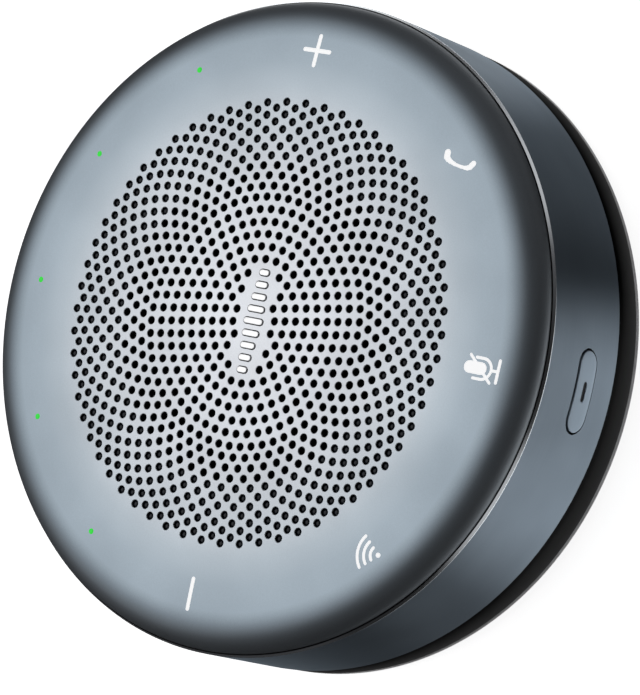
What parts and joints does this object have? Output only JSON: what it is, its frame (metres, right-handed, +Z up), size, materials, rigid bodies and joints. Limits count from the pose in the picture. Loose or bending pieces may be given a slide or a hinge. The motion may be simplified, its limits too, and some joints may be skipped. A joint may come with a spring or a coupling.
{
  "type": "conference speakerphone",
  "caption": "Round table-top speakerphone with a perforated top, touch icons, status lights, a metal side ring with a sprung power button, and a loudspeaker inside.",
  "frame": {"origin": "on the table, under the centre of the puck", "axes": "+Z up through the face; +X towards the volume-up key; -Y towards the user and the power button; +Y towards the charging port"},
  "size_m": [0.1306, 0.1308, 0.04],
  "materials": {
    "cover_paint": "bead-blasted aluminium with a satin blue-grey anodised coat",
    "side_anodised": "turned aluminium, satin blue-grey anodised, with a polished chamfer",
    "badge_silver": "satin silver",
    "icon_white": "opal white light guide, flush",
    "status_green": "clear light pipe lit green",
    "gasket_black": "matt black",
    "window_black": "dark indicator window",
    "tub_black": "fine moulded texture",
    "base_rubber": "soft-touch, faint sheen",
    "foot_silicone": "matt silicone",
    "screw_steel": "zinc plated",
    "port_steel": "satin nickel",
    "tongue_black": "moulded",
    "switch_steel": "stamped can",
    "plunger_black": "moulded",
    "circuit_green": "solder mask",
    "ribbon_amber": "flexible film",
    "frame_plastic": "moulded, fine texture",
    "grille_cloth": "fine acoustic weave",
    "baffle_black": "semi-gloss moulded",
    "foam_grey": "open-cell foam",
    "basket_black": "black coated pressing",
    "surround_rubber": "matt",
    "cone_paper": "pressed pulp",
    "coil_copper": "enamelled copper winding",
    "spider_cloth": "corrugated impregnated cloth",
    "pole_steel": "plated",
    "magnet_ferrite": "sintered",
    "shield_steel": "tinned can",
    "chip_black": "moulded",
    "battery_foil": "laminated foil pouch",
    "mic_brass": "gold-plated can",
    "boot_rubber": "moulded"
  },
  "bodies": {
    "housing": {"top_cover": "cover_paint", "side_ring": "side_anodised", "centre_badge": "badge_silver", "icon_plus": "icon_white", "icon_minus": "icon_white", "icon_call": "icon_white", "icon_mute": "icon_white", "icon_wireless": "icon_white", "status_light_1": "status_green", "status_light_2": "status_green", "status_light_3": "status_green", "status_light_4": "status_green", "status_light_5": "status_green", "seam_gasket": "gasket_black", "bottom_cover": "tub_black", "base_ring": "base_rubber", "anti_slip_foot": "foot_silicone", "cover_screw_1": "screw_steel", "cover_screw_2": "screw_steel", "cover_screw_3": "screw_steel", "cover_screw_4": "screw_steel", "charging_port": "port_steel", "port_tongue": "tongue_black", "power_switch": "switch_steel", "button_board": "circuit_green", "port_board": "circuit_green", "main_board": "circuit_green", "touch_board": "circuit_green", "touch_ribbon": "ribbon_amber", "upper_frame": "frame_plastic", "chamber_floor": "frame_plastic", "grille_cloth": "grille_cloth", "acoustic_baffle": "baffle_black", "speaker_gasket": "foam_grey", "speaker_basket": "basket_black", "speaker_surround": "surround_rubber", "speaker_spider": "spider_cloth", "speaker_top_plate": "pole_steel", "speaker_yoke": "pole_steel", "speaker_magnet": "magnet_ferrite", "radio_shield": "shield_steel", "audio_processor": "chip_black", "battery_pack": "battery_foil", "microphone_1": "mic_brass", "microphone_2": "mic_brass", "microphone_3": "mic_brass", "microphone_4": "mic_brass", "microphone_boot_1": "boot_rubber", "microphone_boot_2": "boot_rubber", "microphone_boot_3": "boot_rubber", "microphone_boot_4": "boot_rubber"},
    "power_button": {"power_button": "side_anodised", "button_window": "window_black", "switch_plunger": "plunger_black"},
    "diaphragm": {"speaker_cone": "cone_paper", "dust_cap": "cone_paper", "voice_coil": "coil_copper"}
  },
  "joints": [
    {"name": "power_button_press", "type": "slide", "parent": "housing", "child": "power_button", "axis": [0, 1, 0], "range_m": [0, 0.0004], "stiffness_N_per_m": 4000},
    {"name": "diaphragm_stroke", "type": "slide", "parent": "housing", "child": "diaphragm", "axis": [0, 0, 1], "range_m": [-0.0015, 0.0015], "stiffness_N_per_m": 2500}
  ]
}
